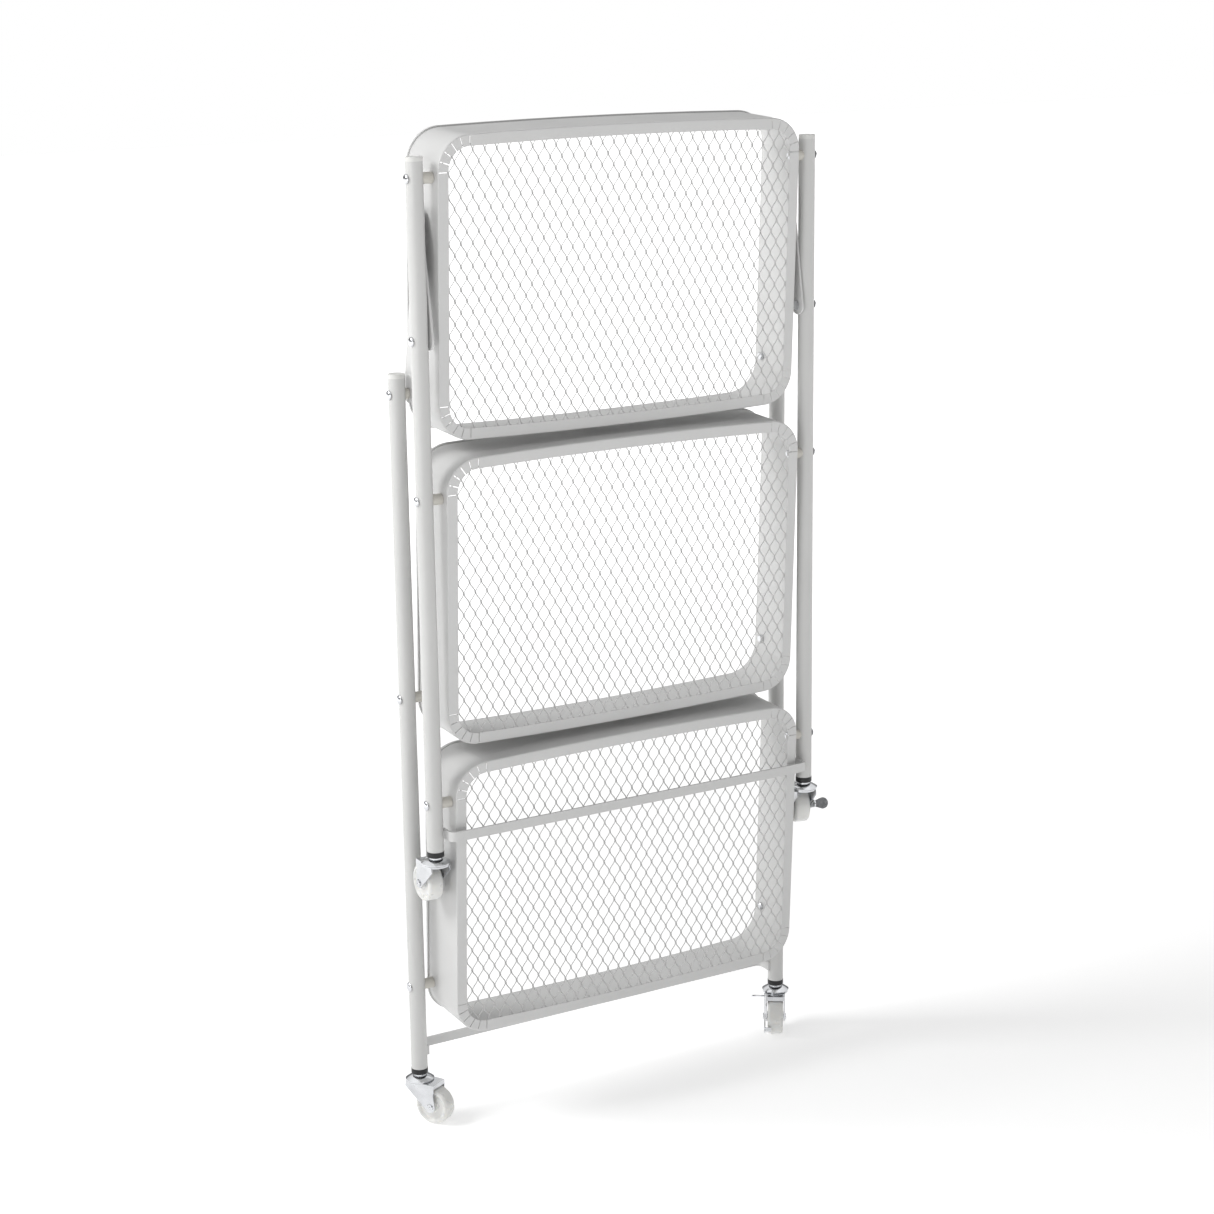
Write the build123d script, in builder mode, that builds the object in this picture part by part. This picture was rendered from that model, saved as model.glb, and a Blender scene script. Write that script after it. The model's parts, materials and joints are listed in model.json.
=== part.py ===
from build123d import *
from math import acos, atan2, ceil, cos, degrees, hypot, radians, sin
import os

# Folding three-tier mesh trolley, folded flat. Millimetres, +Z up, X across the trays.
# Two leg frames stay parallel to each other. Three trays join them, each on two pairs of
# pins, so the legs and trays make a parallelogram. A two-link brace on each side joins
# the frames near the top. The origin is on the floor, midway between the leg planes.

# ---- driving dimensions -------------------------------------------------------------
TRAY_WIDTH = 420.0          # outside of the side walls, along X
TRAY_DEPTH = 299.5          # outside of the long walls, at the corners
TRAY_HEIGHT = 69.0          # grille plane to rim
CORNER_RADIUS = 35.0
SIDE_CROWN = 3.4            # outward bow of each long wall at its middle
SHEET = 1.0
BEND_RADIUS = 1.4           # outside of the fold between wall and flange
FLANGE_WIDTH = 11.5         # inturned flange that frames the grille
SLIT_WIDTH = 0.9            # relief slits that divide the flange into corner tabs
SLITS_PER_CORNER = 6
RIM_HEIGHT = 4.0
RIM_OVERHANG = 1.4          # rolled rim beyond the wall

MESH_PITCH_X = 39.6         # diamonds at three times the pitch and strand of the fine
MESH_PITCH_Y = 67.8         # expanded metal, which keeps its open area and its mass
MESH_STRAND = 4.2
MESH_THICKNESS = 1.2
MESH_EDGE_GAP = 0.8         # grille edge to the inside of the wall
MESH_BORDER = 8.0           # plain border behind the flange

FRONT_PIVOT_DOWN = 40.5     # pin positions on a tray: down from its top edge when folded,
FRONT_PIVOT_IN = 13.5       # and in from the grille plane towards the rim
REAR_PIVOT_UP = 39.5        # rear pins: up from the tray's bottom edge,
REAR_PIVOT_BELOW_RIM = 12.3     # and back from the rim
REAR_PIVOT_DOWN = TRAY_DEPTH - REAR_PIVOT_UP
REAR_PIVOT_IN = TRAY_HEIGHT - REAR_PIVOT_BELOW_RIM
TRAY_GAP = 16.5             # between neighbouring trays when folded
TRAY_PITCH = TRAY_DEPTH + TRAY_GAP      # tier spacing along the legs
TRAY_COUNT = 3
FOLDED_TILT = 3.0           # degrees between trays and legs when folded

TUBE_DIAMETER = 17.5
TUBE_WALL = 1.2
LEG_GAP = 10.0              # tray side wall to the near side of a leg tube
LEG_ABOVE_PIVOT = 21.2      # top pin to the top of the end cap
LEG_BELOW_PIVOT = 49.8      # lowest front pin to the lower end of the tube
FRONT_LEG_LENGTH = LEG_ABOVE_PIVOT + (TRAY_COUNT - 1) * TRAY_PITCH + LEG_BELOW_PIVOT
CAP_HEIGHT = 4.5
PLUG_LENGTH = 16.0

PIN_RADIUS = 2.5
RUNNING_CLEARANCE = 0.05    # radial, pins in their holes
SIDE_CLEARANCE = 0.3        # faces that slide past each other
FIT_CLEARANCE = 0.05        # parts of one frame that seat on each other
HEAD_RADIUS = 5.0
HEAD_HEIGHT = 2.4
SLEEVE_RADIUS = 5.6
NUT_RADIUS = 4.2
NUT_HEIGHT = 3.2

LINK_WIDTH = 20.0
LINK_THICKNESS = 2.5
LINK_SPACING = 0.6          # leg to short link, and short link to long link
SHORT_LINK_LENGTH = 117.5
BRACE_PIN_DROP = 157.0      # front top pin down to the brace pin on the front leg
KNEE_HEAD = 1.0

BAR_HEIGHT = 10.0
BAR_THICKNESS = 2.5
BAR_STANDOFF = 19.1         # leg axis to the middle of the crossbar
BAR_BEND = 8.0
BAR_TAB_PAST = 2.0          # tab end beyond the leg axis
BAR_ABOVE_END = 17.6        # crossbar middle above the lower end of the tube
WELD_WIDTH = 7.0
WELD_HEIGHT = 8.0

WHEEL_DIAMETER = 40.0
WHEEL_WIDTH = 17.5
WHEEL_SIDE_GAP = 0.75       # wheel to each side plate
WHEEL_TREAD_RADIUS = 3.5
CASTER_TRAIL = 18.8
AXLE_RADIUS = 2.5
FORK_GAP = WHEEL_WIDTH + 2 * WHEEL_SIDE_GAP     # between the fork's side plates
FORK_PLATE = 1.5
FORK_TOP = WHEEL_DIAMETER + 5.3
FORK_TOP_PLATE = 1.8
FORK_FRONT = 14.5           # radius of the swivel plate
FORK_HOOD = 24.0            # rear end of the hood beyond the swivel axis
CUP_RADIUS = 15.2
CUP_LIP = 1.2
CUP_TOP = FORK_TOP + 5.2
CASTER_HEIGHT = CUP_TOP + 8.2   # floor to the lower end of the tube
NECK_RADIUS = 7.0
COLLAR_HEIGHT = 6.0
COLLAR_PROUD = 0.2
STEM_RADIUS = 4.0

BRAKE_PLATE = 1.4
BRAKE_REACH = WHEEL_DIAMETER / 2 + 2.0      # axle to the end of each arm
BRAKE_PAD_OUT = 10.0        # centre of the treadle pad, beyond the lever's side plate
BRAKE_PAD_RADIUS = 6.3
BRAKE_HUB = 6.0
BRAKE_LOBE_ROOT = 4.0
BRAKE_ARM_SPREAD = 140.0    # degrees between the upper and the lower arm
BRAKE_TOE = 8.0             # shoe bent in across the tread
BRAKE_TOE_GAP = 0.8         # shoe to tread

# trail heading of each caster, degrees from +X
CASTER_HEADING = {"front_left": 90.0, "front_right": 73.0, "rear_left": -60.0, "rear_right": -124.0}
# direction from the axle to each brake lever's upper treadle, degrees up from the trail
BRAKE_ANGLE = {"front_right": 165.0, "rear_right": 118.0}
BRAKED = tuple(BRAKE_ANGLE)

# ---- derived geometry ---------------------------------------------------------------
tilt = radians(FOLDED_TILT)
pivot_span = REAR_PIVOT_DOWN - FRONT_PIVOT_DOWN
pivot_rise = REAR_PIVOT_IN - FRONT_PIVOT_IN
leg_spread = pivot_span * sin(tilt) + pivot_rise * cos(tilt)
leg_lift = pivot_span * cos(tilt) - pivot_rise * sin(tilt)
rear_leg_length = FRONT_LEG_LENGTH + pivot_rise

tube_radius = TUBE_DIAMETER / 2
wall_x = TRAY_WIDTH / 2
leg_near_x = wall_x + LEG_GAP
leg_x = leg_near_x + tube_radius
leg_far_x = leg_x + tube_radius
front_y = -leg_spread / 2
rear_y = leg_spread / 2
rear_pin_z = CASTER_HEIGHT + rear_leg_length - LEG_ABOVE_PIVOT
front_pin_z = rear_pin_z + leg_lift
brace_pin_z = front_pin_z - BRACE_PIN_DROP

# brace: the two links lie in one line when the trolley is open
open_reach = hypot(pivot_span, pivot_rise + BRACE_PIN_DROP)
long_link_length = open_reach - SHORT_LINK_LENGTH
folded_reach = hypot(leg_spread, rear_pin_z - brace_pin_z)
knee_angle = acos((long_link_length**2 + folded_reach**2 - SHORT_LINK_LENGTH**2)
                  / (2 * long_link_length * folded_reach))
long_link_angle = atan2(brace_pin_z - rear_pin_z, -leg_spread) - knee_angle
knee_y = rear_y + long_link_length * cos(long_link_angle)
knee_z = rear_pin_z + long_link_length * sin(long_link_angle)
short_link_angle = atan2(knee_z - brace_pin_z, knee_y - front_y)

short_link_x = leg_near_x - LINK_SPACING - LINK_THICKNESS
long_link_x = short_link_x - LINK_SPACING - LINK_THICKNESS

FRAMES = {
    "front": {"y": front_y, "pin_z": front_pin_z, "length": FRONT_LEG_LENGTH, "out": -1},
    "rear": {"y": rear_y, "pin_z": rear_pin_z, "length": rear_leg_length, "out": 1},
}
for frame in FRAMES.values():
    frame["top"] = frame["pin_z"] + LEG_ABOVE_PIVOT
    frame["end"] = frame["top"] - frame["length"]
    frame["pins"] = [(frame["y"], frame["pin_z"] - tier * TRAY_PITCH) for tier in range(TRAY_COUNT)]
SIDES = {"left": -1, "right": 1}
TIERS = ("top", "middle", "bottom")

os.makedirs("parts", exist_ok=True)


def save(built, name):
    built.part.label = name
    export_step(built.part, f"parts/{name}.step")


# ---- trays --------------------------------------------------------------------------
def tray_plane(tier, inwards=0.0):
    """Plane of a tray: local X across, local Y down the folded tray, normal to the rim."""
    down = TRAY_DEPTH / 2 - FRONT_PIVOT_DOWN
    depth = inwards - FRONT_PIVOT_IN
    origin = (
        0,
        front_y + down * sin(tilt) + depth * cos(tilt),
        front_pin_z - tier * TRAY_PITCH - down * cos(tilt) + depth * sin(tilt),
    )
    return Plane(origin=origin, x_dir=(1, 0, 0), z_dir=(0, cos(tilt), sin(tilt)))


def tray_outline(inset):
    """Rounded rectangle whose long sides bow outward, drawn inside the tray's outline."""
    half_x = TRAY_WIDTH / 2 - inset
    half_y = TRAY_DEPTH / 2 - inset
    with BuildSketch(mode=Mode.PRIVATE) as outline:
        with BuildLine():
            ThreePointArc((-half_x, -half_y), (0, -half_y - SIDE_CROWN), (half_x, -half_y))
            Line((half_x, -half_y), (half_x, half_y))
            ThreePointArc((half_x, half_y), (0, half_y + SIDE_CROWN), (-half_x, half_y))
            Line((-half_x, half_y), (-half_x, -half_y))
        make_face()
        fillet(outline.vertices(), CORNER_RADIUS - inset)
    return outline.sketch


def ring(outer_inset, inner_inset):
    add(tray_outline(outer_inset))
    add(tray_outline(inner_inset), mode=Mode.SUBTRACT)


def corner_slits():
    """Radial slits across the flange, evenly round each corner."""
    slit_length = FLANGE_WIDTH - BEND_RADIUS
    middle = CORNER_RADIUS - BEND_RADIUS - slit_length / 2
    for quadrant in range(4):
        side_x = 1 if quadrant in (0, 3) else -1
        side_y = 1 if quadrant in (0, 1) else -1
        centre = (side_x * (wall_x - CORNER_RADIUS), side_y * (TRAY_DEPTH / 2 - CORNER_RADIUS))
        with Locations(centre):
            with PolarLocations(middle, SLITS_PER_CORNER, 90 * quadrant, 90, endpoint=True):
                Rectangle(slit_length + 1, SLIT_WIDTH)


def pin_holes(pins, radius, half_length):
    """Bores along X through both side walls, one for each pin axis (y, z)."""
    with BuildSketch(Plane.YZ.offset(-half_length)) as bores:
        with Locations(*pins):
            Circle(radius)
    extrude(bores.sketch, amount=2 * half_length, mode=Mode.SUBTRACT)


def build_tray_wall(tier):
    with BuildPart() as wall:
        with BuildSketch(tray_plane(tier)):
            ring(0, SHEET)
        extrude(amount=TRAY_HEIGHT)
        with BuildSketch(tray_plane(tier)):
            ring(0, FLANGE_WIDTH)
        extrude(amount=SHEET)
        with BuildSketch(tray_plane(tier, TRAY_HEIGHT - RIM_HEIGHT)):
            ring(-RIM_OVERHANG, SHEET)
        extrude(amount=RIM_HEIGHT)
        faces = wall.faces().sort_by(Axis(tray_plane(tier).origin, tray_plane(tier).z_dir))
        fillet(faces[0].outer_wire().edges(), BEND_RADIUS)
        rim_face = wall.faces().sort_by(Axis(tray_plane(tier).origin, tray_plane(tier).z_dir))[-1]
        fillet(rim_face.outer_wire().edges(), RIM_OVERHANG)
        with BuildSketch(tray_plane(tier, -SHEET)):
            corner_slits()
        extrude(amount=3 * SHEET, mode=Mode.SUBTRACT)
        pins = [FRAMES["front"]["pins"][tier], FRAMES["rear"]["pins"][tier]]
        pin_holes(pins, PIN_RADIUS + RUNNING_CLEARANCE, wall_x + RIM_OVERHANG)
    save(wall, f"tray_{TIERS[tier]}_wall")


def diamond_centres():
    """Staggered grid of the diamonds that reach into the grille."""
    half_x = wall_x - SHEET - MESH_EDGE_GAP
    half_y = TRAY_DEPTH / 2 + SIDE_CROWN
    columns = ceil(half_x / MESH_PITCH_X)
    rows = ceil(half_y / MESH_PITCH_Y)
    for row in range(-2 * rows, 2 * rows + 1):
        for column in range(-columns, columns + 1):
            x = (column + (row % 2) / 2) * MESH_PITCH_X
            y = row * MESH_PITCH_Y / 2
            if abs(x) < half_x and abs(y) < half_y:
                yield (x, y)


def grille_sketch():
    inset = SHEET + MESH_EDGE_GAP
    slope = hypot(MESH_PITCH_X, MESH_PITCH_Y)
    half_x = MESH_PITCH_X / 2 - MESH_STRAND * slope / (2 * MESH_PITCH_Y)
    half_y = MESH_PITCH_Y / 2 - MESH_STRAND * slope / (2 * MESH_PITCH_X)
    with BuildSketch(mode=Mode.PRIVATE) as diamonds:
        with Locations(*diamond_centres()):
            Polygon((half_x, 0), (0, half_y), (-half_x, 0), (0, -half_y))
        add(tray_outline(inset + MESH_BORDER), mode=Mode.INTERSECT)
    with BuildSketch(mode=Mode.PRIVATE) as grille:
        add(tray_outline(inset))
        add(diamonds.sketch, mode=Mode.SUBTRACT)
    return grille.sketch


def build_tray_grille(tier, sketch):
    with BuildPart() as grille:
        with BuildSketch(tray_plane(tier, SHEET)):
            add(sketch)
        extrude(amount=MESH_THICKNESS)
    save(grille, f"tray_{TIERS[tier]}_grille")


# ---- leg frames ---------------------------------------------------------------------
def build_leg(kind, side):
    frame = FRAMES[kind]
    with BuildPart() as leg:
        with BuildSketch(Plane.XY.offset(frame["end"])):
            with Locations((SIDES[side] * leg_x, frame["y"])):
                Circle(tube_radius)
                Circle(tube_radius - TUBE_WALL, mode=Mode.SUBTRACT)
        extrude(amount=frame["length"] - CAP_HEIGHT)
        pins = list(frame["pins"])
        if kind == "front":
            pins.append((front_y, brace_pin_z))
        pin_holes(pins, PIN_RADIUS + FIT_CLEARANCE, leg_far_x + 1)
    save(leg, f"{kind}_leg_{side}")


def both_legs(kind):
    return [(side * leg_x, FRAMES[kind]["y"]) for side in SIDES.values()]


def build_leg_caps(kind):
    frame = FRAMES[kind]
    with BuildPart() as caps:
        with BuildSketch(Plane.XY.offset(frame["top"] - CAP_HEIGHT)):
            with Locations(*both_legs(kind)):
                Circle(tube_radius)
        extrude(amount=CAP_HEIGHT)
        fillet(caps.edges().group_by(Axis.Z)[-1], 1.2)
        with BuildSketch(Plane.XY.offset(frame["top"] - CAP_HEIGHT)):
            with Locations(*both_legs(kind)):
                Circle(tube_radius - TUBE_WALL - FIT_CLEARANCE)
        extrude(amount=-min(PLUG_LENGTH, LEG_ABOVE_PIVOT - CAP_HEIGHT) / 2)
    save(caps, f"{kind}_leg_caps")


def build_foot_inserts(kind):
    """Plastic inserts in the tube ends: a collar outside, and a plug inside."""
    end = FRAMES[kind]["end"]
    with BuildPart() as inserts:
        with BuildSketch(Plane.XY.offset(end - COLLAR_HEIGHT)):
            with Locations(*both_legs(kind)):
                Circle(tube_radius + COLLAR_PROUD)
        extrude(amount=COLLAR_HEIGHT)
        fillet(inserts.edges().group_by(Axis.Z)[0], 0.8)
        with BuildSketch(Plane.XY.offset(end)):
            with Locations(*both_legs(kind)):
                Circle(tube_radius - TUBE_WALL - FIT_CLEARANCE)
        extrude(amount=PLUG_LENGTH)
        with BuildSketch(Plane.XY.offset(end - COLLAR_HEIGHT)):
            with Locations(*both_legs(kind)):
                Circle(STEM_RADIUS + FIT_CLEARANCE)
        extrude(amount=COLLAR_HEIGHT + PLUG_LENGTH, mode=Mode.SUBTRACT)
    save(inserts, f"{kind}_foot_inserts")


def build_crossbar(kind):
    """Flat bar bent back at both ends into tabs that are welded inside the legs."""
    frame = FRAMES[kind]
    out = frame["out"]
    outer_y = out * (BAR_STANDOFF + BAR_THICKNESS / 2)
    tab_y = -out * BAR_TAB_PAST
    middle_z = frame["end"] + BAR_ABOVE_END
    plan = Plane(origin=(0, frame["y"], middle_z - BAR_HEIGHT / 2))
    with BuildPart() as bar:
        with BuildSketch(plan) as section:
            with BuildLine():
                Polyline((-leg_near_x, tab_y), (-leg_near_x, outer_y), (leg_near_x, outer_y),
                         (leg_near_x, tab_y), (-leg_near_x, tab_y))
            make_face()
            corners = section.vertices().group_by(Axis.Y)[0 if out < 0 else -1]
            fillet(corners, BAR_BEND)
            inner_x = leg_near_x - BAR_THICKNESS
            inner_y = outer_y - out * BAR_THICKNESS
            with BuildLine():
                hollow = FilletPolyline((-inner_x, tab_y), (-inner_x, inner_y), (inner_x, inner_y),
                                        (inner_x, tab_y), radius=BAR_BEND - BAR_THICKNESS)
                Line(hollow @ 1, hollow @ 0)
            make_face(mode=Mode.SUBTRACT)
        extrude(amount=BAR_HEIGHT)
        with BuildSketch(Plane(origin=(0, frame["y"], middle_z - WELD_HEIGHT / 2))):
            for side in SIDES.values():
                with Locations((side * (leg_near_x + tube_radius / 4), out * WELD_WIDTH / 4)):
                    Rectangle(tube_radius / 2, WELD_WIDTH)
                with Locations((side * leg_x, 0)):
                    Circle(tube_radius, mode=Mode.SUBTRACT)
        extrude(amount=WELD_HEIGHT)
    save(bar, f"{kind}_crossbar")


def revolve_on_pins(profile, pins, start_x, side):
    """Turn a half profile (distance along the pin, radius) about each pin axis."""
    for y, z in pins:
        plane = Plane(origin=(side * start_x, y, z), x_dir=(side, 0, 0), z_dir=(0, -side, 0))
        with BuildSketch(plane) as half:
            with BuildLine():
                Polyline(*profile, close=True)
            make_face()
        revolve(half.sketch, axis=Axis((start_x * side, y, z), (1, 0, 0)))


def head_profile(start, radius, height):
    """Low domed head, as the points of a chord-cut arc."""
    return [(start + height * sin(radians(a)), radius * cos(radians(a))) for a in range(0, 90, 15)]


def build_pivot_pins(kind):
    """Domed head outside the leg, shank through the tube and the tray wall."""
    shank_start = wall_x - SHEET - SIDE_CLEARANCE - NUT_HEIGHT
    dome = head_profile(leg_far_x - shank_start, HEAD_RADIUS, HEAD_HEIGHT)
    seat = leg_far_x - shank_start
    profile = [(0, 0), (0, PIN_RADIUS), (seat, PIN_RADIUS), *dome, (seat + HEAD_HEIGHT, 0)]
    with BuildPart() as pins:
        for side in SIDES.values():
            revolve_on_pins(profile, FRAMES[kind]["pins"], shank_start, side)
    save(pins, f"{kind}_pivot_pins")


def build_pivot_nuts(kind):
    """Round nuts on the pin ends, just inside the tray walls."""
    start = wall_x - SHEET - SIDE_CLEARANCE - NUT_HEIGHT
    bore = PIN_RADIUS + FIT_CLEARANCE
    profile = [(0.0, bore), (0.0, NUT_RADIUS - 0.8), (0.8, NUT_RADIUS),
               (NUT_HEIGHT, NUT_RADIUS), (NUT_HEIGHT, bore)]
    with BuildPart() as nuts:
        for side in SIDES.values():
            revolve_on_pins(profile, FRAMES[kind]["pins"], start, side)
    save(nuts, f"{kind}_pivot_nuts")


def build_pivot_sleeves(kind):
    """Spacer sleeves that fill the gap, saddled on the tube at the leg end."""
    frame = FRAMES[kind]
    start = wall_x + SIDE_CLEARANCE
    bore = PIN_RADIUS + FIT_CLEARANCE
    full = [(0, bore), (0, SLEEVE_RADIUS), (leg_x - start, SLEEVE_RADIUS), (leg_x - start, bore)]
    plain = frame["pins"]
    with BuildPart() as sleeves:
        for side in SIDES.values():
            if kind == "rear":
                outer_start = long_link_x + LINK_THICKNESS + SIDE_CLEARANCE
                outer = [(outer_start - start, bore), (outer_start - start, SLEEVE_RADIUS),
                         (leg_x - start, SLEEVE_RADIUS), (leg_x - start, bore)]
                washer_end = long_link_x - SIDE_CLEARANCE - start
                washer = [(0, bore), (0, SLEEVE_RADIUS), (washer_end, SLEEVE_RADIUS), (washer_end, bore)]
                revolve_on_pins(outer, plain[:1], start, side)
                revolve_on_pins(washer, plain[:1], start, side)
                revolve_on_pins(full, plain[1:], start, side)
            else:
                revolve_on_pins(full, plain, start, side)
        with BuildSketch(Plane.XY.offset(frame["end"])):
            with Locations(*both_legs(kind)):
                Circle(tube_radius + FIT_CLEARANCE)
        extrude(amount=frame["length"], mode=Mode.SUBTRACT)
    save(sleeves, f"{kind}_pivot_sleeves")


# ---- braces -------------------------------------------------------------------------
def build_link(name, side, near_x, start, angle, length):
    """Flat link with round ends, from its pin at start towards the knee, where it holds a rivet."""
    sign = SIDES[side]
    plane = Plane(origin=(sign * near_x, *start), x_dir=(0, cos(angle), sin(angle)), z_dir=(sign, 0, 0))
    with BuildPart() as link:
        with BuildSketch(plane):
            with Locations((length / 2, 0)):
                SlotCenterToCenter(length, LINK_WIDTH)
        extrude(amount=LINK_THICKNESS)
        fillet(link.faces().filter_by(Axis.X).edges(), 0.7)
        with BuildSketch(plane):
            Circle(PIN_RADIUS + RUNNING_CLEARANCE)
            with Locations((length, 0)):
                Circle(PIN_RADIUS + FIT_CLEARANCE)
        extrude(amount=LINK_THICKNESS, mode=Mode.SUBTRACT)
    save(link, f"{name}_{side}")


def build_knee_rivet(side):
    """Flat-headed rivet in two halves that meet between the links, one half in each link."""
    shank = LINK_THICKNESS + LINK_SPACING / 2 - FIT_CLEARANCE
    half = [(0, 0), (0, HEAD_RADIUS), (KNEE_HEAD, HEAD_RADIUS), (KNEE_HEAD, PIN_RADIUS),
            (KNEE_HEAD + shank, PIN_RADIUS), (KNEE_HEAD + shank, 0)]
    inner_start = long_link_x - KNEE_HEAD
    outer_end = short_link_x + LINK_THICKNESS + KNEE_HEAD
    mirrored = [(outer_end - inner_start - along, out) for along, out in half]
    for name, profile in (("inner", half), ("outer", mirrored)):
        with BuildPart() as rivet:
            revolve_on_pins(profile, [(knee_y, knee_z)], inner_start, SIDES[side])
        save(rivet, f"knee_rivet_{name}_{side}")


def build_brace_pins():
    """Rivets through the front legs that carry the short links."""
    start = short_link_x - SIDE_CLEARANCE - KNEE_HEAD
    seat = leg_far_x - start
    dome = head_profile(seat, HEAD_RADIUS, HEAD_HEIGHT)
    profile = [(0, 0), (0, HEAD_RADIUS), (KNEE_HEAD, HEAD_RADIUS), (KNEE_HEAD, PIN_RADIUS),
               (seat, PIN_RADIUS), *dome, (seat + HEAD_HEIGHT, 0)]
    with BuildPart() as pins:
        for side in SIDES.values():
            revolve_on_pins(profile, [(front_y, brace_pin_z)], start, side)
    save(pins, "brace_leg_pins")


# ---- casters ------------------------------------------------------------------------
def caster_place(corner):
    kind, side = corner.split("_")
    frame = FRAMES[kind]
    return SIDES[side] * leg_x, frame["y"], frame["end"] - CASTER_HEIGHT


def caster_side_plane(corner, offset=0.0):
    """Plane through the swivel axis: local X along the trail, local Y up."""
    x, y, z = caster_place(corner)
    heading = radians(CASTER_HEADING[corner])
    normal = (sin(heading), -cos(heading), 0)
    origin = (x + offset * normal[0], y + offset * normal[1], z)
    return Plane(origin=origin, x_dir=(cos(heading), sin(heading), 0), z_dir=normal)


def caster_top_plane(corner, height):
    x, y, z = caster_place(corner)
    heading = radians(CASTER_HEADING[corner])
    return Plane(origin=(x, y, z + height), x_dir=(cos(heading), sin(heading), 0), z_dir=(0, 0, 1))


def build_caster_stems(kind):
    """Stem with its swivel cup and neck, fixed in the foot insert of each leg."""
    end = FRAMES[kind]["end"]
    floor = end - CASTER_HEIGHT
    neck_top = CASTER_HEIGHT - COLLAR_HEIGHT
    lip = FORK_TOP + 0.5
    foot = FORK_TOP - FORK_TOP_PLATE - SIDE_CLEARANCE
    with BuildPart() as stems:
        for x, y in both_legs(kind):
            plane = Plane(origin=(x, y, floor), x_dir=(1, 0, 0), z_dir=(0, -1, 0))
            with BuildSketch(plane) as half:
                with BuildLine():
                    Polyline((0, foot - 1.6), (STEM_RADIUS + 2, foot - 1.6), (STEM_RADIUS + 2, foot),
                             (STEM_RADIUS, foot), (STEM_RADIUS, lip), (CUP_RADIUS, lip),
                             (CUP_RADIUS, lip + CUP_LIP))
                    ThreePointArc((CUP_RADIUS, lip + CUP_LIP), (CUP_RADIUS - 4, CUP_TOP - 1.2),
                                  (NECK_RADIUS + 1, CUP_TOP))
                    Polyline((NECK_RADIUS + 1, CUP_TOP), (NECK_RADIUS, CUP_TOP), (NECK_RADIUS, neck_top),
                             (STEM_RADIUS, neck_top), (STEM_RADIUS, CASTER_HEIGHT + PLUG_LENGTH - 2),
                             (0, CASTER_HEIGHT + PLUG_LENGTH - 2), (0, foot - 1.6))
                make_face()
            revolve(half.sketch, axis=Axis((x, y, 0), (0, 0, 1)))
    save(stems, f"{kind}_caster_stems")


def add_fork_plate(corner, start):
    """Side plate: wide at the swivel plate, narrow and round at the axle."""
    axle_z = WHEEL_DIAMETER / 2
    boss = 6.0
    top = FORK_TOP - FORK_TOP_PLATE / 2
    hood_drop = 7.0
    with BuildSketch(caster_side_plane(corner, start)) as plate:
        with BuildLine():
            Polyline((-11.0, top), (-12.0, top - 5), (CASTER_TRAIL - boss * 0.82, axle_z - boss * 0.57))
            ThreePointArc((CASTER_TRAIL - boss * 0.82, axle_z - boss * 0.57), (CASTER_TRAIL, axle_z - boss),
                          (CASTER_TRAIL + boss, axle_z))
            Polyline((CASTER_TRAIL + boss, axle_z), (CASTER_TRAIL + 4, top - hood_drop - 4),
                     (FORK_HOOD, top - hood_drop), (FORK_HOOD, top), (-11.0, top))
        make_face()
    extrude(plate.sketch, amount=FORK_PLATE)


def build_fork(corner):
    half_gap = FORK_GAP / 2
    with BuildPart() as fork:
        add_fork_plate(corner, half_gap)
        add_fork_plate(corner, -half_gap - FORK_PLATE)
        with BuildSketch(caster_top_plane(corner, FORK_TOP - FORK_TOP_PLATE)):
            Circle(FORK_FRONT)
            with Locations((FORK_HOOD / 2, 0)):
                Rectangle(FORK_HOOD, FORK_GAP + 2 * FORK_PLATE)
            Circle(STEM_RADIUS + RUNNING_CLEARANCE, mode=Mode.SUBTRACT)
        extrude(amount=FORK_TOP_PLATE)
        with BuildSketch(caster_side_plane(corner, -half_gap)):
            with Locations((FORK_HOOD - FORK_PLATE / 2, FORK_TOP - FORK_TOP_PLATE - 1)):
                Rectangle(FORK_PLATE, 4)
        extrude(amount=FORK_GAP)
        with BuildSketch(caster_side_plane(corner, -half_gap - FORK_PLATE)):
            with Locations((CASTER_TRAIL, WHEEL_DIAMETER / 2)):
                Circle(AXLE_RADIUS + FIT_CLEARANCE)
        extrude(amount=FORK_GAP + 2 * FORK_PLATE, mode=Mode.SUBTRACT)
    save(fork, f"fork_{corner}")


def spin_on_axle(corner, profile, mode=Mode.ADD):
    """Turn a half profile (distance along the axle, radius) about the axle."""
    x, y, z = caster_place(corner)
    heading = radians(CASTER_HEADING[corner])
    centre = (x + CASTER_TRAIL * cos(heading), y + CASTER_TRAIL * sin(heading), z + WHEEL_DIAMETER / 2)
    axle = (sin(heading), -cos(heading), 0)
    plane = Plane(origin=centre, x_dir=axle, z_dir=(cos(heading), sin(heading), 0))
    with BuildSketch(plane) as half:
        with BuildLine():
            Polyline(*profile, close=True)
        make_face()
    revolve(half.sketch, axis=Axis(centre, axle), mode=mode)


def build_axle(corner):
    """Tubular rivet: a rolled head outside each side plate, or outside the brake lever."""
    near = FORK_GAP / 2 + FORK_PLATE
    far = near
    if corner in BRAKED:
        far += BRAKE_PLATE + 2 * SIDE_CLEARANCE
    profile = [(-near - 1.2, 1.2), (-near - 1.2, 3.2), (-near - 0.8, 3.8), (-near, 3.8),
               (-near, AXLE_RADIUS), (far, AXLE_RADIUS), (far, 3.8), (far + 0.8, 3.8),
               (far + 1.2, 3.2), (far + 1.2, 1.2), (far + 0.2, 0), (-near - 0.2, 0)]
    with BuildPart() as axle:
        spin_on_axle(corner, profile)
    save(axle, f"axle_{corner}")


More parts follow.
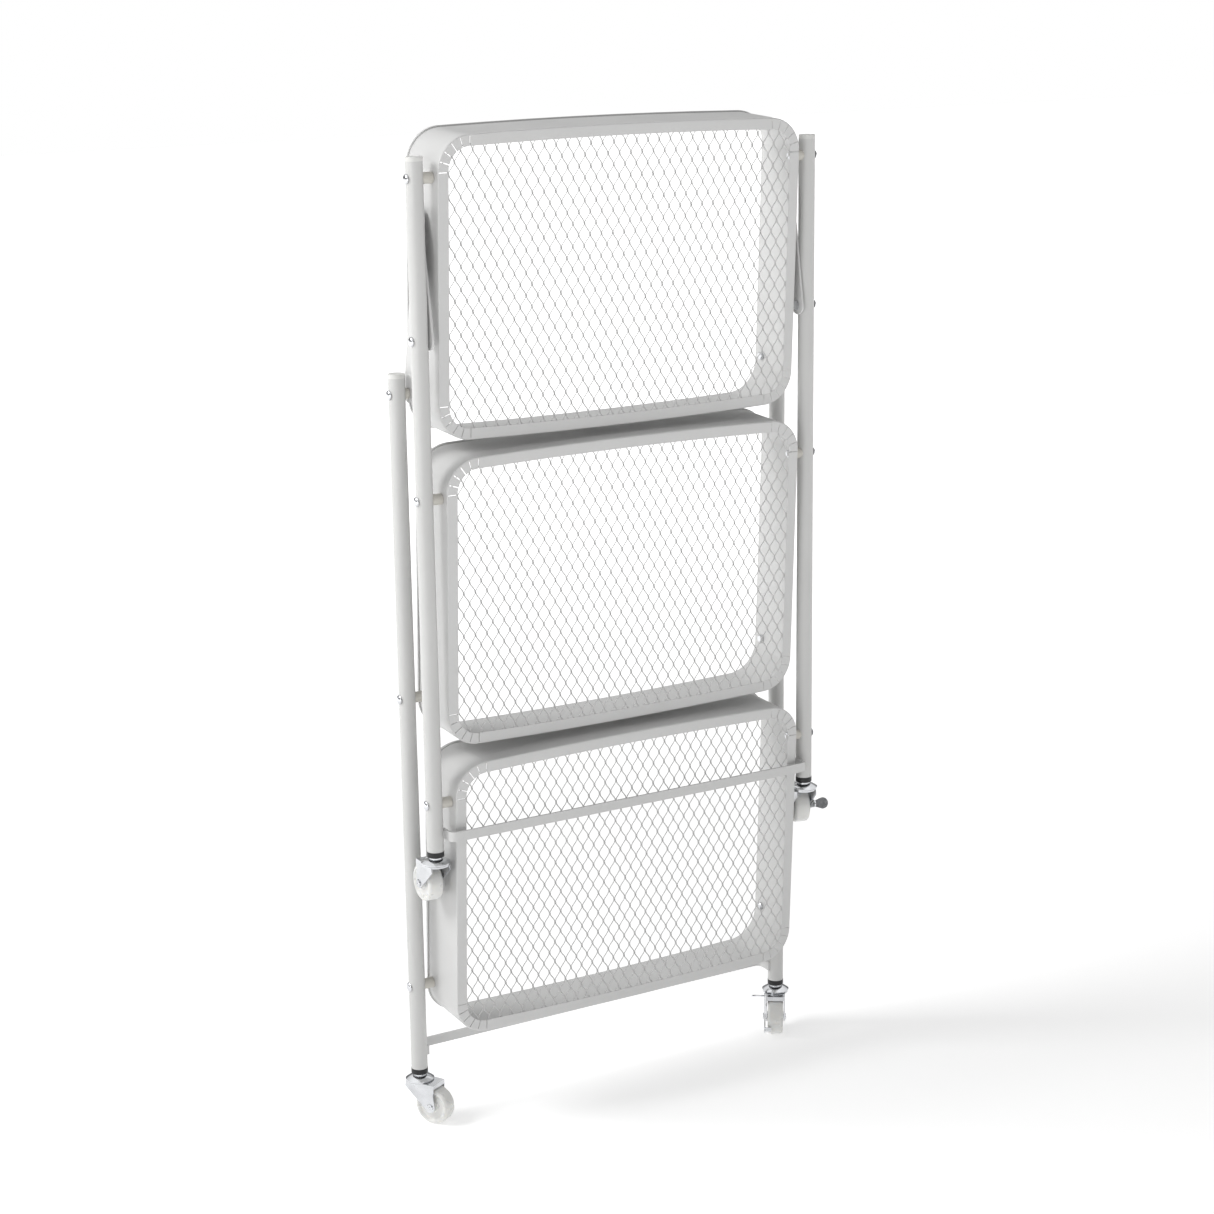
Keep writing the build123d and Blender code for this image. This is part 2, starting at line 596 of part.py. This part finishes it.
def build_wheel(corner):
    """Solid wheel with rounded tread edges, dished sides and a raised hub."""
    radius = WHEEL_DIAMETER / 2
    half = WHEEL_WIDTH / 2
    bore = AXLE_RADIUS + RUNNING_CLEARANCE
    hub = FORK_GAP / 2 - SIDE_CLEARANCE
    edge = WHEEL_TREAD_RADIUS
    arc = [(half - edge + edge * cos(radians(a)), radius - edge + edge * sin(radians(a)))
           for a in range(0, 91, 15)]
    right = [(hub, bore), (hub, bore + 3), (half - 2, bore + 4.5), (half - 2, radius - 6), *arc]
    left = [(-along, out) for along, out in reversed(right)]
    with BuildPart() as wheel:
        spin_on_axle(corner, right + left)
    save(wheel, f"wheel_{corner}")


def along_lever(angle, distance):
    """Point on the lever's side plate, at an angle and distance from the axle."""
    turn = radians(angle)
    return CASTER_TRAIL + distance * cos(turn), WHEEL_DIAMETER / 2 + distance * sin(turn)


def build_brake(corner):
    """Lever on the axle, outside one side plate: a treadle pad above, a shoe at the tread below."""
    near = FORK_GAP / 2 + FORK_PLATE + SIDE_CLEARANCE
    upper = BRAKE_ANGLE[corner]
    lower = upper - BRAKE_ARM_SPREAD
    side = caster_side_plane(corner, near)
    axle_at = (CASTER_TRAIL, WHEEL_DIAMETER / 2)
    with BuildPart() as lever:
        for angle in (upper, lower):
            with BuildSketch(side) as arm:
                with Locations(axle_at):
                    Circle(BRAKE_HUB)
                with Locations(along_lever(angle, BRAKE_REACH)):
                    Circle(BRAKE_LOBE_ROOT)
                make_hull()
            extrude(arm.sketch, amount=BRAKE_PLATE)
        root = side.from_local_coords(Vector(*along_lever(upper, BRAKE_REACH), 0))
        facing = side.x_dir * cos(radians(upper)) + side.y_dir * sin(radians(upper))
        with BuildSketch(Plane(origin=root, x_dir=side.z_dir, z_dir=facing)) as pad:
            with Locations((BRAKE_LOBE_ROOT / 2, 0)):
                Rectangle(BRAKE_LOBE_ROOT, 1.5 * BRAKE_LOBE_ROOT)
            with Locations((BRAKE_PAD_OUT, 0)):
                Circle(BRAKE_PAD_RADIUS)
            make_hull()
        extrude(pad.sketch, amount=BRAKE_PLATE)
        tread = WHEEL_DIAMETER / 2 + BRAKE_TOE_GAP
        toe_root = side.from_local_coords(Vector(*along_lever(lower, tread), 0))
        facing = side.x_dir * cos(radians(lower)) + side.y_dir * sin(radians(lower))
        with BuildSketch(Plane(origin=toe_root, x_dir=-side.z_dir, z_dir=facing)) as toe:
            with Locations((BRAKE_TOE / 2 - BRAKE_PLATE, 0)):
                Rectangle(BRAKE_TOE, 1.5 * BRAKE_LOBE_ROOT)
        extrude(toe.sketch, amount=BRAKE_PLATE)
        with BuildSketch(side) as bore:
            with Locations(axle_at):
                Circle(AXLE_RADIUS + RUNNING_CLEARANCE)
        extrude(bore.sketch, amount=BRAKE_PLATE, mode=Mode.SUBTRACT)
    save(lever, f"brake_lever_{corner}")


# ---- build everything ---------------------------------------------------------------
grille_face = grille_sketch()
for tier_index in range(TRAY_COUNT):
    build_tray_wall(tier_index)
    build_tray_grille(tier_index, grille_face)

for frame_kind in FRAMES:
    for leg_side in SIDES:
        build_leg(frame_kind, leg_side)
    build_leg_caps(frame_kind)
    build_foot_inserts(frame_kind)
    build_crossbar(frame_kind)
    build_pivot_pins(frame_kind)
    build_pivot_nuts(frame_kind)
    build_pivot_sleeves(frame_kind)
    build_caster_stems(frame_kind)

build_brace_pins()
for brace_side in SIDES:
    build_link("short_link", brace_side, short_link_x, (front_y, brace_pin_z), short_link_angle,
               SHORT_LINK_LENGTH)
    build_link("long_link", brace_side, long_link_x, (rear_y, rear_pin_z), long_link_angle,
               long_link_length)
    build_knee_rivet(brace_side)

for corner_name in CASTER_HEADING:
    build_fork(corner_name)
    build_axle(corner_name)
    build_wheel(corner_name)
for corner_name in BRAKED:
    build_brake(corner_name)
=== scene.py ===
import json
import math

import bpy
import numpy as np
from mathutils import Matrix, Vector


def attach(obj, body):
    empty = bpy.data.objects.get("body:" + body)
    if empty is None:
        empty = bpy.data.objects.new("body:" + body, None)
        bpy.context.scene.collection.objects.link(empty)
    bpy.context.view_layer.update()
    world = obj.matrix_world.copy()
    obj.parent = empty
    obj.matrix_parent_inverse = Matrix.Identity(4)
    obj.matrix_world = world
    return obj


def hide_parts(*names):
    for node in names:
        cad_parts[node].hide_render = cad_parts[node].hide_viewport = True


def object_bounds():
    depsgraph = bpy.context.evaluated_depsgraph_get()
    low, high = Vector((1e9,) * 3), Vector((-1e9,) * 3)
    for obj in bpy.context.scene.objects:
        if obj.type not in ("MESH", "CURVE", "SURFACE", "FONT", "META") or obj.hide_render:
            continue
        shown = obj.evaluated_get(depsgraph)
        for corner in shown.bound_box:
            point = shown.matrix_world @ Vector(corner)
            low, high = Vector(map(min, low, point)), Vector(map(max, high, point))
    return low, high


# Folding three-tier mesh trolley: materials, fine expanded-metal grilles, camera and
# studio. Lengths are in metres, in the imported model's own frame.

MM = 0.001

# ---- camera -------------------------------------------------------------------------
CAMERA_AZIMUTH = -30.30      # degrees; 0 looks along +Y
CAMERA_ELEVATION = 14.22
CAMERA_ROLL = -0.81
CAMERA_PLACE = Vector((-1.3373, -2.2797, 1.2083))
FOCAL_LENGTH = 76.57         # millimetres on a 36 mm sensor
SENSOR = 36.0

# ---- expanded metal -----------------------------------------------------------------
PITCH_X = 13.2 * MM          # diamond, across the tray and along its depth
PITCH_Y = 22.6 * MM
STRAND_WIDTH = 0.8 * MM
STRAND_THICKNESS = 1.1 * MM
STRAND_STEPS = 8             # stations along one strand, bond to bond
STRAND_TWIST = 24.0          # degrees, each strand leans like a slat
BOND_REACH = 0.13            # share of a strand's length that runs straight at each bond
STRAND_EASE = 0.45           # how far a strand's slant is eased into its two bonds
BOND_SPREAD = 0.55 * MM      # half the distance between the two strands at a bond
EDGE_TRIM = 3.5 * MM         # trimmed edge to the outside of the tray wall
GRILLE_SHEET = 1.2 * MM
MOUNT_DOWN = 147.0 * MM      # a tray's mount to the tray's middle, along its depth
CORNER_RADIUS = 35.0 * MM
SIDE_CROWN = 3.4 * MM
TRAY_WIDTH = 420.0 * MM
TRAY_DEPTH = 299.5 * MM
TIERS = ("top", "middle", "bottom")

# ---- studio -------------------------------------------------------------------------
ROOM_LIGHT = 0.62            # even light from all round
DARK_WALL = 0.55             # the room's lower half, beside its upper half
ROOM_BANDS = ((0.35, DARK_WALL), (0.9, 1.0))    # sine of the elevation and tone
FLOOR_REACH = 14.0           # metres from the origin to the floor's edges
# name, place, size and power of each lamp
LAMPS = (("key", (-2.6, 0.9, 2.6), 1.4, 62), ("side_fill", (-3.0, -1.6, 1.0), 1.0, 8))
FLOOR_GLOW = 0.32            # lifts the floor to the backdrop's white near the trolley
FLOOR_FAR_GLOW = 1.0         # and further out, where no shadow falls
GLOW_NEAR, GLOW_FAR = 0.9, 3.0   # metres from the origin between the two
# sine of the elevation and tone, as polished metal sees the room: dark screens stand round
# the set below a bright ceiling
MIRRORED_ROOM = ((0.0, 0.45), (0.05, 0.16), (0.30, 0.20), (0.42, 0.95), (1.0, 1.25))

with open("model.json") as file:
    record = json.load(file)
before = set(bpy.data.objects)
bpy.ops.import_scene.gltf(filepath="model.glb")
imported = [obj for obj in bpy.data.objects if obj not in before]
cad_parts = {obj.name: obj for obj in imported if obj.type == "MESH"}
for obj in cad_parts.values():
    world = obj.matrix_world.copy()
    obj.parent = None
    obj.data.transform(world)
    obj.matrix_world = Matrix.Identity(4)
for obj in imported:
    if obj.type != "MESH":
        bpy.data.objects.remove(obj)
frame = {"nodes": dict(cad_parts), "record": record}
cad_low, cad_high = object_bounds()
record = frame["record"]


# ---- materials ----------------------------------------------------------------------
class Shader:
    """A Principled material with short calls for the nodes that these finishes share."""

    def __init__(self, name):
        self.material = bpy.data.materials.new(name)
        self.material.use_nodes = True
        self.tree = self.material.node_tree
        self.surface = self.tree.nodes["Principled BSDF"]
        self.place = self.tree.nodes.new("ShaderNodeTexCoord").outputs["Object"]
        self.height = None

    def set(self, **values):
        for key, value in values.items():
            self.surface.inputs[key.replace("_", " ")].default_value = value
        return self

    def noise(self, scale, detail=2.0, stretch=(1, 1, 1)):
        place = self.place
        if stretch != (1, 1, 1):
            mapping = self.tree.nodes.new("ShaderNodeMapping")
            mapping.inputs["Scale"].default_value = stretch
            self.tree.links.new(place, mapping.inputs["Vector"])
            place = mapping.outputs["Vector"]
        node = self.tree.nodes.new("ShaderNodeTexNoise")
        node.inputs["Scale"].default_value = scale
        node.inputs["Detail"].default_value = detail
        self.tree.links.new(place, node.inputs["Vector"])
        return node.outputs["Fac"]

    def ramp(self, value, stops):
        node = self.tree.nodes.new("ShaderNodeValToRGB")
        elements = node.color_ramp.elements
        while len(elements) < len(stops):
            elements.new(0.5)
        for element, (at, color) in zip(elements, stops):
            element.position = at
            element.color = (*color, 1) if isinstance(color, tuple) else (color, color, color, 1)
        self.tree.links.new(value, node.inputs["Fac"])
        return node.outputs["Color"]

    def mix(self, factor, first, second):
        node = self.tree.nodes.new("ShaderNodeMix")
        node.data_type = "RGBA"
        for socket, value in (("Factor", factor), ("A", first), ("B", second)):
            target = [s for s in node.inputs if s.name == socket and s.enabled][0]
            if isinstance(value, bpy.types.NodeSocket):
                self.tree.links.new(value, target)
            elif socket == "Factor":
                target.default_value = value
            else:
                target.default_value = (*value, 1)
        return [s for s in node.outputs if s.enabled][0]

    def feed(self, name, value):
        self.tree.links.new(value, self.surface.inputs[name])

    def bump(self, value, distance, strength=1.0):
        node = self.tree.nodes.new("ShaderNodeBump")
        node.inputs["Distance"].default_value = distance
        node.inputs["Strength"].default_value = strength
        self.tree.links.new(value, node.inputs["Height"])
        if self.height is not None:
            self.tree.links.new(self.height, node.inputs["Normal"])
        self.height = node.outputs["Normal"]
        self.feed("Normal", self.height)


def powder_coat(name, tone, peel=1.0):
    """Baked powder: a fine orange peel, faint rubbed patches and a trace of handling dust."""
    s = Shader(name)
    s.set(Roughness=0.4, IOR=1.5, Coat_Weight=0.15, Coat_Roughness=0.25)
    patches = s.ramp(s.noise(9.0, 4), [(0.35, tuple(c * 0.965 for c in tone)), (0.7, tone)])
    dust = s.ramp(s.noise(140.0, 6), [(0.60, 0.0), (0.80, 0.10)])
    s.feed("Base Color", s.mix(dust, patches, (0.50, 0.49, 0.47)))
    s.feed("Roughness", s.ramp(s.noise(30.0, 3), [(0.3, 0.34), (0.7, 0.48)]))
    s.bump(s.noise(900.0, 2), 0.00004 * peel, 0.7)
    s.bump(s.noise(220.0, 2), 0.00006 * peel, 0.5)
    return s.material


def plated(name, tone, rough):
    """Bright plating with hairline scuffs and slightly hazy patches."""
    s = Shader(name)
    s.set(Metallic=1.0)
    haze = s.noise(60.0, 4)
    s.feed("Base Color", s.ramp(haze, [(0.3, tuple(c * 0.82 for c in tone)), (0.65, tone)]))
    s.feed("Roughness", s.ramp(s.noise(160.0, 5), [(0.3, rough), (0.75, rough + 0.16)]))
    s.bump(s.noise(700.0, 3, (1, 1, 0.08)), 0.00002, 0.35)
    return s.material


def moulded(name, tone, rough, grain):
    """Injection-moulded plastic: fine texture and a slow drift in tone."""
    s = Shader(name)
    s.set(IOR=1.46)
    s.feed("Base Color", s.ramp(s.noise(40.0, 3), [(0.3, tuple(c * 0.9 for c in tone)), (0.7, tone)]))
    s.feed("Roughness", s.ramp(s.noise(300.0, 3), [(0.3, rough), (0.7, min(1.0, rough + 0.14))]))
    s.bump(s.noise(1500.0, 3), grain, 0.6)
    return s.material


def milky_nylon(name, tone):
    """Natural nylon: light scatters below a softly scuffed surface."""
    s = Shader(name)
    s.set(Subsurface_Weight=0.45, Subsurface_Scale=0.006, Subsurface_Radius=(1.0, 0.95, 0.85),
          IOR=1.5, Transmission_Weight=0.12)
    s.feed("Base Color", s.ramp(s.noise(24.0, 2), [(0.3, tuple(c * 0.97 for c in tone)), (0.7, tone)]))
    s.feed("Roughness", s.ramp(s.noise(60.0, 2), [(0.35, 0.26), (0.7, 0.34)]))
    return s.material


FINISHES = {
    "powder_coat": powder_coat("powder_coat_sheet", (0.62, 0.62, 0.615)),
    "tube_coat": powder_coat("powder_coat_tube", (0.60, 0.60, 0.59), 0.8),
    "mesh_coat": powder_coat("powder_coat_mesh", (0.56, 0.56, 0.555), 0.6),
    "chrome": plated("bright_plating", (0.70, 0.71, 0.73), 0.10),
    "sleeve_plastic": moulded("sleeve_nylon", (0.62, 0.60, 0.55), 0.45, 0.00004),
    "cap_plastic": moulded("cap_plastic", (0.72, 0.72, 0.70), 0.38, 0.00003),
    "black_plastic": moulded("black_plastic", (0.015, 0.015, 0.016), 0.38, 0.00005),
    "wheel_nylon": milky_nylon("wheel_nylon", (0.82, 0.82, 0.80)),
}


def coat_frame():
    """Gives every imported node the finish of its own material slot."""
    slots = {part["node"]: part["material_slot"] for part in record["subparts"]}
    for node, thing in frame["nodes"].items():
        thing.data.materials.clear()
        thing.data.materials.append(FINISHES[slots[node]])


# ---- shared mesh helpers ------------------------------------------------------------
def make_piece(name, vertices, faces, slot, body):
    mesh = bpy.data.meshes.new(name)
    mesh.from_pydata([tuple(v) for v in vertices], [], faces)
    mesh.validate()
    mesh.shade_flat()
    piece = bpy.data.objects.new(name, mesh)
    bpy.context.scene.collection.objects.link(piece)
    mesh.materials.append(FINISHES[slot])
    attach(piece, body)
    return piece


# ---- expanded-metal grilles ---------------------------------------------------------
def inside_tray(x, y):
    """True within the tray's rounded outline, trimmed back from the wall."""
    half_x = TRAY_WIDTH / 2 - EDGE_TRIM
    half_y = TRAY_DEPTH / 2 - EDGE_TRIM
    radius = CORNER_RADIUS - EDGE_TRIM
    bow = SIDE_CROWN * (1 - (x / (TRAY_WIDTH / 2)) ** 2)
    if abs(x) > half_x or abs(y) > half_y + bow:
        return False
    over_x = abs(x) - (half_x - radius)
    over_y = abs(y) - (half_y - radius)
    return over_x <= 0 or over_y <= 0 or math.hypot(over_x, over_y) <= radius


def strand_path(lean):
    """Stations of one strand from a bond to the next one, which is lean sides across."""
    run = PITCH_X / 2 - 2 * BOND_SPREAD
    stations = []
    for step in range(STRAND_STEPS + 1):
        along = step / STRAND_STEPS
        eased = min(1.0, max(0.0, (along - BOND_REACH) / (1 - 2 * BOND_REACH)))
        smooth = eased * eased * (3 - 2 * eased)
        across = BOND_SPREAD + run * (smooth * STRAND_EASE + eased * (1 - STRAND_EASE))
        stations.append((lean * across, along * PITCH_Y / 2))
    return stations


def grille_mesh():
    """Vertices and faces of one grille, in the tray's own plane: x across, y down, z inwards."""
    vertices, faces = [], []
    columns = int(TRAY_WIDTH / PITCH_X / 2) + 2
    rows = int(TRAY_DEPTH / PITCH_Y) + 3
    half = np.array([[-0.5, -0.5], [0.5, -0.5], [0.5, 0.5], [-0.5, 0.5]])
    half = half * (STRAND_WIDTH, STRAND_THICKNESS)
    for row in range(-rows, rows + 1):
        for column in range(-columns, columns + 1):
            bond_x = (column + (row % 2) / 2) * PITCH_X
            bond_y = row * PITCH_Y / 2
            for lean in (-1, 1):
                path = [(bond_x + x, bond_y + y) for x, y in strand_path(lean)]
                path = [point for point in path if inside_tray(*point)]
                if len(path) < 3:
                    continue
                add_strand(vertices, faces, path, lean, half)
    return np.array(vertices), faces


def add_strand(vertices, faces, path, lean, half):
    first = len(vertices)
    twist = math.radians(STRAND_TWIST) * lean
    turned = half @ np.array([[math.cos(twist), math.sin(twist)], [-math.sin(twist), math.cos(twist)]])
    for index, (x, y) in enumerate(path):
        before = path[max(0, index - 1)]
        after = path[min(len(path) - 1, index + 1)]
        length = math.hypot(after[0] - before[0], after[1] - before[1])
        side = ((after[1] - before[1]) / length, -(after[0] - before[0]) / length)
        for across, up in turned:
            vertices.append((x + across * side[0], y + across * side[1], up))
    for index in range(len(path) - 1):
        low = first + 4 * index
        for corner in range(4):
            turn = (corner + 1) % 4
            faces.append((low + corner, low + turn, low + 4 + turn, low + 4 + corner))
    last = first + 4 * (len(path) - 1)
    faces.append((first + 3, first + 2, first + 1, first))
    faces.append((last, last + 1, last + 2, last + 3))


def tray_matrix(tier):
    """The tray's own plane at the middle of its grille."""
    mount = [m for m in record["mounts"] if m["name"] == f"tray_{tier}_floor"][0]
    inwards = Vector(mount["axis"]).normalized()
    down = Vector((0, inwards.z, -inwards.y))
    centre = Vector(mount["pos_m"]) - down * MOUNT_DOWN - inwards * (GRILLE_SHEET / 2)
    return Matrix((
        (1, down.x, inwards.x, centre.x),
        (0, down.y, inwards.y, centre.y),
        (0, down.z, inwards.z, centre.z),
        (0, 0, 0, 1),
    ))


def make_grilles():
    points, faces = grille_mesh()
    for tier in TIERS:
        matrix = np.array(tray_matrix(tier))
        placed = points @ matrix[:3, :3].T + matrix[:3, 3]
        piece = make_piece(f"expanded_metal_{tier}", placed, faces, "mesh_coat", f"tray_{tier}")
        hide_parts(f"tray_{tier}_grille")


# ---- studio -------------------------------------------------------------------------
def make_camera():
    azimuth, elevation, roll = map(math.radians, (CAMERA_AZIMUTH, CAMERA_ELEVATION, CAMERA_ROLL))
    ahead = Vector((-math.sin(azimuth) * math.cos(elevation), math.cos(azimuth) * math.cos(elevation),
                    -math.sin(elevation)))
    level = Vector((math.cos(azimuth), math.sin(azimuth), 0))
    upright = level.cross(ahead)
    right = math.cos(roll) * level + math.sin(roll) * upright
    up = -math.sin(roll) * level + math.cos(roll) * upright
    data = bpy.data.cameras.new("camera")
    data.sensor_width = SENSOR
    data.lens = FOCAL_LENGTH
    camera = bpy.data.objects.new("camera", data)
    camera.matrix_world = Matrix((
        (right.x, up.x, -ahead.x, CAMERA_PLACE.x),
        (right.y, up.y, -ahead.y, CAMERA_PLACE.y),
        (right.z, up.z, -ahead.z, CAMERA_PLACE.z),
        (0, 0, 0, 1),
    ))
    bpy.context.scene.collection.objects.link(camera)
    bpy.context.scene.camera = camera


def add_area(name, place, target, size, power):
    data = bpy.data.lights.new(name, "AREA")
    data.size = size
    data.energy = power
    lamp = bpy.data.objects.new(name, data)
    lamp.location = place
    lamp.rotation_euler = (Vector(target) - Vector(place)).to_track_quat("-Z", "Y").to_euler()
    bpy.context.scene.collection.objects.link(lamp)


def make_studio():
    scene = bpy.context.scene
    scene.view_settings.view_transform = "Standard"
    world = bpy.data.worlds.new("studio")
    world.use_nodes = True
    nodes, links = world.node_tree.nodes, world.node_tree.links
    room = nodes["Background"]
    room.inputs["Strength"].default_value = ROOM_LIGHT
    backdrop = nodes.new("ShaderNodeBackground")
    backdrop.inputs["Color"].default_value = (1, 1, 1, 1)
    seen = nodes.new("ShaderNodeLightPath")
    blend = nodes.new("ShaderNodeMixShader")
    sky = nodes.new("ShaderNodeTexCoord")
    height = nodes.new("ShaderNodeSeparateXYZ")
    bands = nodes.new("ShaderNodeValToRGB")
    for element, (at, tone) in zip(bands.color_ramp.elements, ROOM_BANDS):
        element.position = at
        element.color = (tone, tone, tone, 1)
    links.new(sky.outputs["Generated"], height.inputs["Vector"])
    links.new(height.outputs["Z"], bands.inputs["Fac"])
    links.new(bands.outputs["Color"], room.inputs["Color"])
    mirrored = nodes.new("ShaderNodeBackground")
    tones = nodes.new("ShaderNodeValToRGB")
    while len(tones.color_ramp.elements) < len(MIRRORED_ROOM):
        tones.color_ramp.elements.new(0.5)
    for element, (at, tone) in zip(tones.color_ramp.elements, MIRRORED_ROOM):
        element.position = at
        element.color = (tone, tone, tone, 1)
    links.new(height.outputs["Z"], tones.inputs["Fac"])
    links.new(tones.outputs["Color"], mirrored.inputs["Color"])
    glossy = nodes.new("ShaderNodeMixShader")
    links.new(seen.outputs["Is Glossy Ray"], glossy.inputs["Fac"])
    links.new(room.outputs["Background"], glossy.inputs[1])
    links.new(mirrored.outputs["Background"], glossy.inputs[2])
    links.new(seen.outputs["Is Camera Ray"], blend.inputs["Fac"])
    links.new(glossy.outputs["Shader"], blend.inputs[1])
    links.new(backdrop.outputs["Background"], blend.inputs[2])
    links.new(blend.outputs["Shader"], nodes["World Output"].inputs["Surface"])
    scene.world = world
    floor_shader = Shader("studio_floor")
    floor_shader.set(Roughness=0.9)
    floor_shader.feed("Base Color", floor_shader.ramp(floor_shader.noise(3.0), [(0.3, 0.97), (0.7, 0.98)]))
    floor_shader.surface.inputs["Emission Color"].default_value = (1, 1, 1, 1)
    distance = floor_shader.tree.nodes.new("ShaderNodeVectorMath")
    distance.operation = "LENGTH"
    floor_shader.tree.links.new(floor_shader.place, distance.inputs[0])
    spread = floor_shader.tree.nodes.new("ShaderNodeMapRange")
    spread.inputs["From Min"].default_value = GLOW_NEAR
    spread.inputs["From Max"].default_value = GLOW_FAR
    spread.inputs["To Min"].default_value = FLOOR_GLOW
    spread.inputs["To Max"].default_value = FLOOR_FAR_GLOW
    floor_shader.tree.links.new(distance.outputs["Value"], spread.inputs["Value"])
    floor_shader.feed("Emission Strength", spread.outputs["Result"])
    reach = FLOOR_REACH
    corners = [(-reach, -reach, 0), (reach, -reach, 0), (reach, reach, 0), (-reach, reach, 0)]
    mesh = bpy.data.meshes.new("floor")
    mesh.from_pydata(corners, [], [(0, 1, 2, 3)])
    mesh.materials.append(floor_shader.material)
    floor = bpy.data.objects.new("floor", mesh)
    scene.collection.objects.link(floor)
    middle = (cad_low + cad_high) / 2
    for name, place, size, power in LAMPS:
        add_area(name, place, middle, size, power)


coat_frame()
make_camera()
make_grilles()
make_studio()
